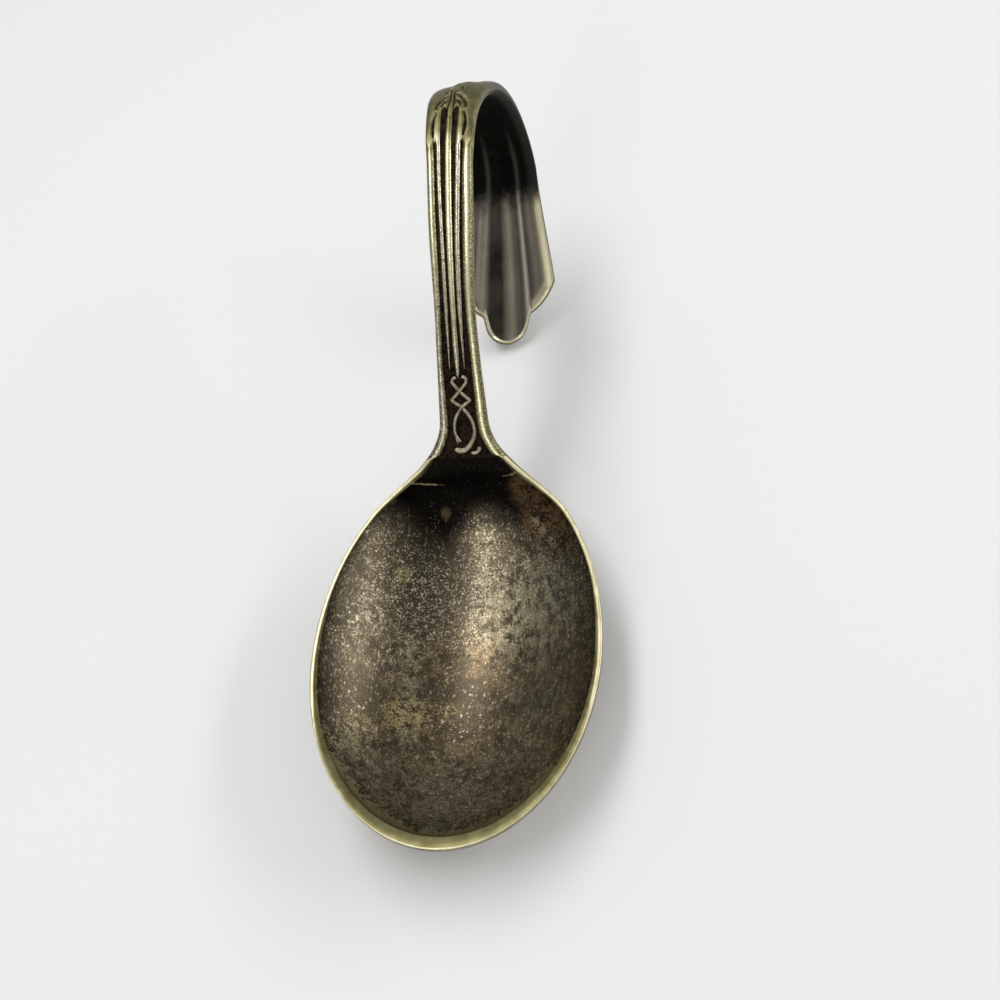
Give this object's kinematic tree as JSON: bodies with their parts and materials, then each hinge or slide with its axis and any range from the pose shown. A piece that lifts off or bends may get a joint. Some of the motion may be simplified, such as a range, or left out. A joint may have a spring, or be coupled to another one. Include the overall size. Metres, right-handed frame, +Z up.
{
  "type": "baby spoon",
  "caption": "Baby spoon with an oval bowl and a strap handle that curls over into a finger loop, with beaded edges, reeds, a small knot and a fluted lobed tip.",
  "frame": {"origin": "middle of the bowl's resting flat, under the widest place of the bowl", "axes": "+Y from the bowl towards the handle's loop, +X to the right seen from above with the bowl nearest, +Z up"},
  "size_m": [0.029, 0.0819, 0.0342],
  "materials": {
    "worn_plate": "worn silver plate with brown tarnish",
    "dark_field": "black tarnish in the sunk ground",
    "bare_brass": "polished through to the brass by handling"
  },
  "bodies": {
    "root": {"bowl": "worn_plate", "shank": "dark_field", "crown": "bare_brass", "lobed_tip": "worn_plate", "left_bead": "bare_brass", "right_bead": "bare_brass", "left_reed": "bare_brass", "centre_reed": "bare_brass", "right_reed": "bare_brass", "knot": "worn_plate"}
  },
  "joints": []
}
